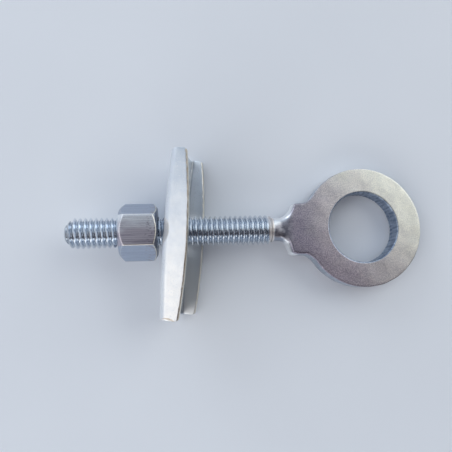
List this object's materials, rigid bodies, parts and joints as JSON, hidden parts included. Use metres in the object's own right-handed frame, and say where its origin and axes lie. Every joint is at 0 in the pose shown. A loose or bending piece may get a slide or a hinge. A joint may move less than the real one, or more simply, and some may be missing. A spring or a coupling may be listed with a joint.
{
  "type": "chain adjuster",
  "caption": "Motorcycle chain adjuster: eye bolt for the wheel axle, folded end bracket that slides on its threaded rod, and a tall hexagon nut.",
  "frame": {"origin": "centre of the axle eye, half way through its thickness", "axes": "+Z along the eye's bore, +X from the threaded rod towards the eye, +Y across the rod"},
  "size_m": [0.0705, 0.0323, 0.0148],
  "materials": {
    "zinc_forging": "bright zinc plate over a fine-grained forged surface",
    "zinc_sheet": "bright zinc plate on folded sheet, satin",
    "zinc_nut": "bright zinc plate, drawn flats"
  },
  "bodies": {
    "eye_bolt": {"eye_bolt": "zinc_forging"},
    "bracket": {"bracket": "zinc_sheet"},
    "hex_nut": {"hex_nut": "zinc_nut"}
  },
  "joints": [
    {"name": "bracket_slide", "type": "slide", "parent": "eye_bolt", "child": "bracket", "axis": [1, 0, 0], "range_m": [-0.009, 0.019]},
    {"name": "nut_turn", "type": "hinge", "parent": "bracket", "child": "hex_nut", "pos_m": [-0.0447, 0, 0], "axis": [1, 0, 0], "range_deg": [-3241, 6841]}
  ],
  "couplings": [
    {"joint": "nut_turn", "follows": "bracket_slide", "rad_per_m": 6283.2}
  ]
}
